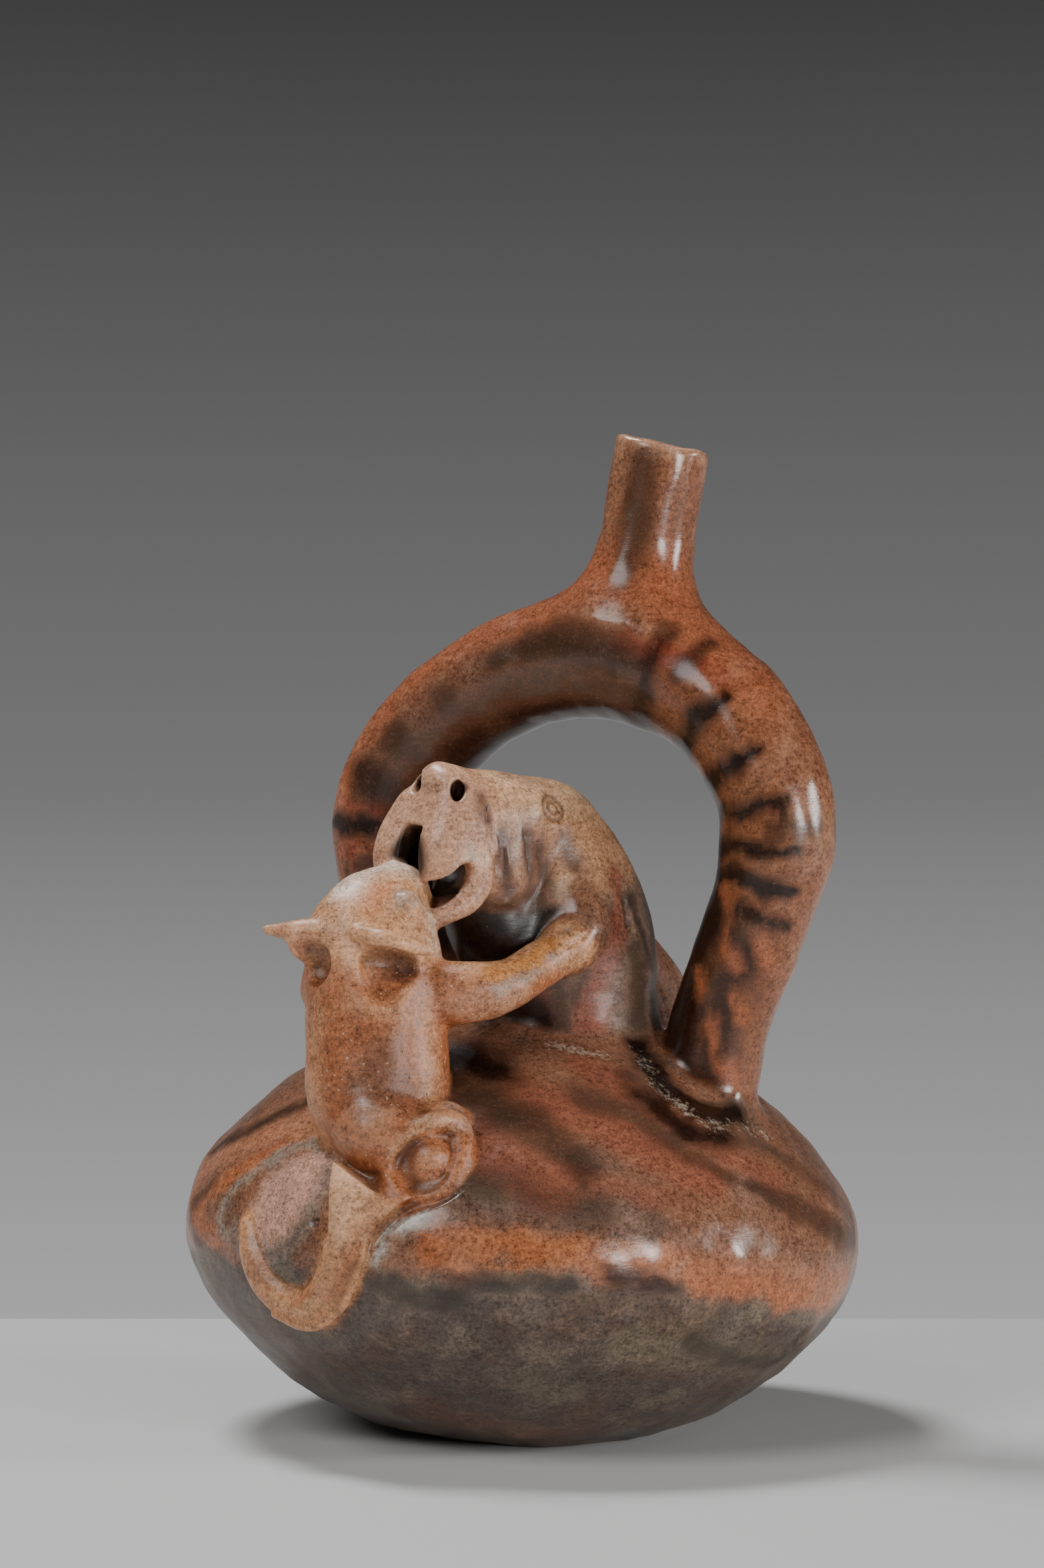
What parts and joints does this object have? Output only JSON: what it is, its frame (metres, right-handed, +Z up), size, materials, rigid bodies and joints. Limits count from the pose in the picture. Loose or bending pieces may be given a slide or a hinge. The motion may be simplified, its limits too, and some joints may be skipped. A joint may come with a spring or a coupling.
{
  "type": "stirrup-spout bottle",
  "caption": "Hollow fired-clay bottle with a round body, a stirrup handle and spout, and two modelled animals, one biting the other.",
  "frame": {"origin": "on the floor at the middle of the level base", "axes": "+Z up through the body, +X to the right of the front view, +Y to the back of it"},
  "size_m": [0.1508, 0.1508, 0.2223],
  "materials": {
    "fired_clay": "burnished red-brown slip with dark bands"
  },
  "bodies": {
    "root": {"vase": "fired_clay"}
  },
  "joints": []
}
